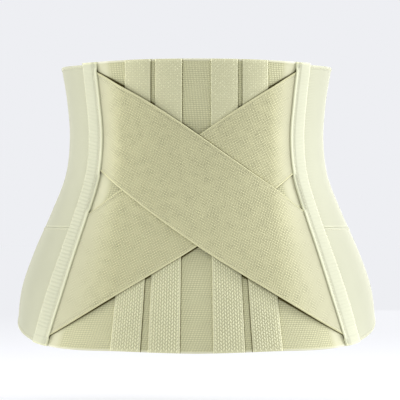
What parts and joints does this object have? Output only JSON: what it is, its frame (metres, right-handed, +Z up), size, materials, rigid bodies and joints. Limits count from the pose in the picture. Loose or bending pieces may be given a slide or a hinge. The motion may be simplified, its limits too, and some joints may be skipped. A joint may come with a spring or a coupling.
{
  "type": "lumbosacral brace",
  "caption": "Cream elastic back brace in its worn form, with crossed straps over upright stay casings, padded seam tapes and side panels that close at the front.",
  "frame": {"origin": "on the torso's axis at the waist, where the brace is narrowest", "axes": "+Z up the torso, +X towards the wearer's right, the back of the brace faces -Y"},
  "size_m": [0.3766, 0.2436, 0.2985],
  "materials": {
    "knit": "matte fine elastic knit",
    "webbing": "matte herringbone webbing",
    "elastic": "matte woven elastic",
    "tape": "soft padded tape",
    "side_cloth": "smooth satin-weave cloth"
  },
  "bodies": {
    "root": {"back_panel": "knit", "stay_casing_outer_left": "webbing", "stay_casing_inner_left": "webbing", "stay_casing_inner_right": "webbing", "stay_casing_outer_right": "webbing", "cross_strap_under": "elastic", "cross_strap_over": "elastic", "seam_tape_left": "tape", "seam_tape_right": "tape", "side_panel_upper_left": "side_cloth", "side_panel_upper_right": "side_cloth", "side_panel_lower_left": "side_cloth", "side_panel_lower_right": "side_cloth", "front_closure": "side_cloth"}
  },
  "joints": []
}
